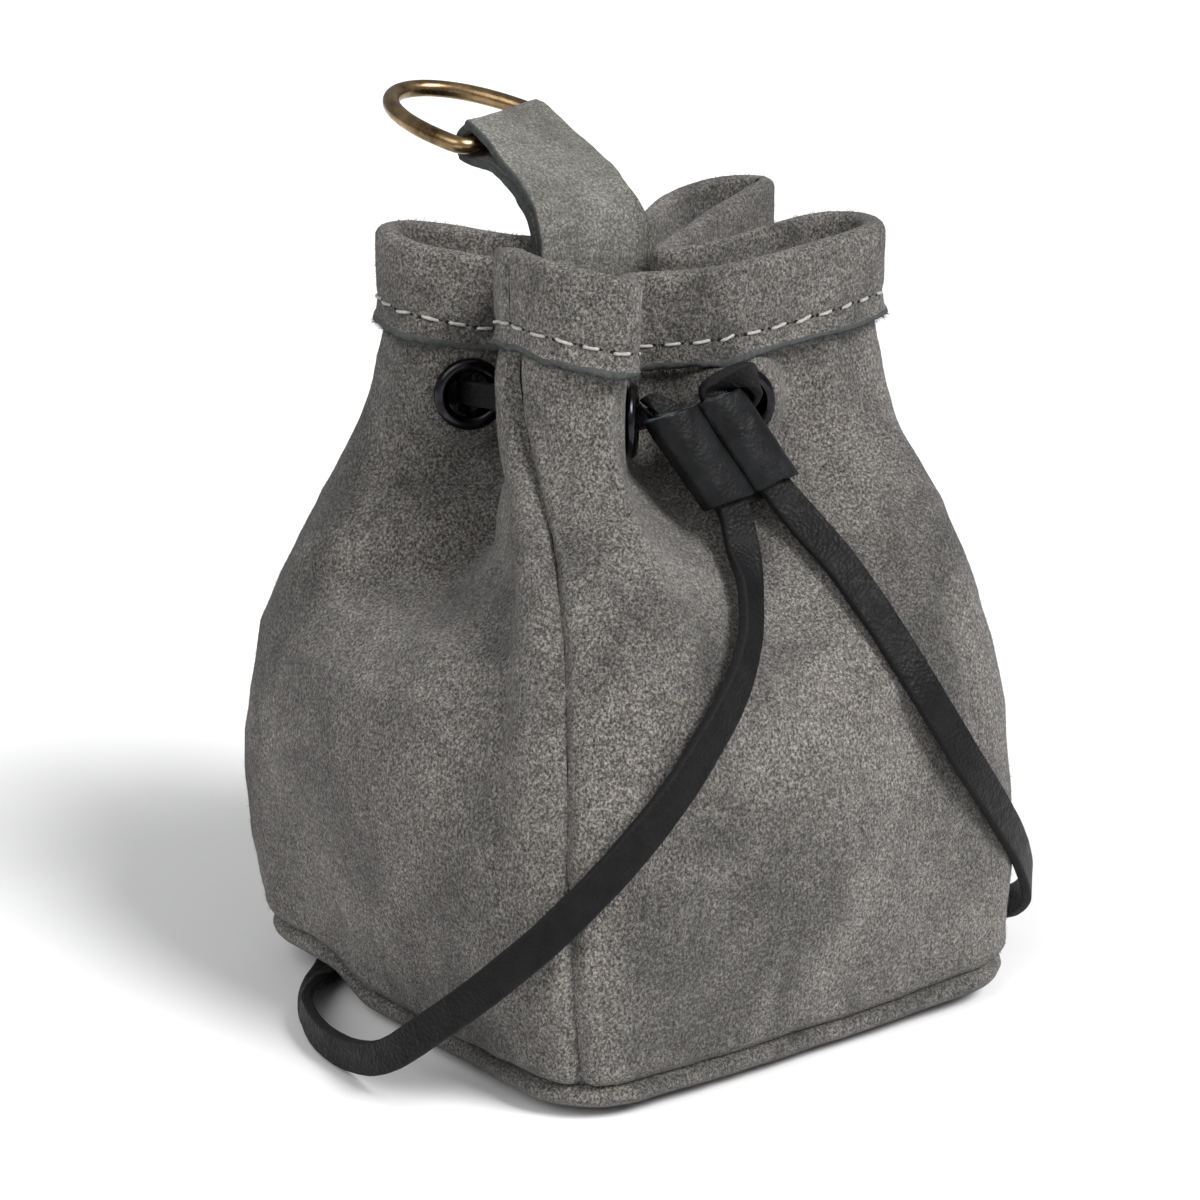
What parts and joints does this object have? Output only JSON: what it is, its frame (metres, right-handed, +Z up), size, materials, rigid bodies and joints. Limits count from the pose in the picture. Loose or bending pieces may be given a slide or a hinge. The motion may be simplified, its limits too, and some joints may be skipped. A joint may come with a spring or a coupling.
{
  "type": "drawstring belt pouch",
  "caption": "Gathered suede pouch on a square base, closed by a flat leather thong and slider, with a folded belt strap and D-ring at the back.",
  "frame": {"origin": "on the floor under the middle of the base", "axes": "+Z up; -Y out of the front face, which carries the slider; the ring points back along +Y"},
  "size_m": [0.1159, 0.1082, 0.1315],
  "materials": {
    "suede": "short mid-grey nap, matt",
    "suede_base": "short mid-grey nap, matt",
    "strap_suede": "smoother brushed grey suede",
    "slider_leather": "black grained leather, satin",
    "thong_leather": "black grained thong, satin, dull cut edges",
    "black_metal": "gloss black enamel",
    "old_brass": "antiqued, rubbed bright on top"
  },
  "bodies": {
    "pouch": {"panel_front": "suede", "panel_back": "suede", "base_panel": "suede_base", "belt_strap": "strap_suede", "cord_slider": "slider_leather", "drawstring_neck": "thong_leather", "drawstring_loop": "thong_leather", "eyelet_front_left": "black_metal", "eyelet_left_front": "black_metal", "eyelet_left_back": "black_metal", "eyelet_back_left": "black_metal", "eyelet_back_right": "black_metal", "eyelet_right_back": "black_metal", "eyelet_right_front": "black_metal", "eyelet_front_right": "black_metal"},
    "ring": {"d_ring": "old_brass"}
  },
  "joints": [
    {"name": "ring_swing", "type": "hinge", "parent": "pouch", "child": "ring", "pos_m": [0.00112, 0.033, 0.12535], "axis": [0.9382, 0.3361, 0.083], "range_deg": [-80, 75]}
  ]
}
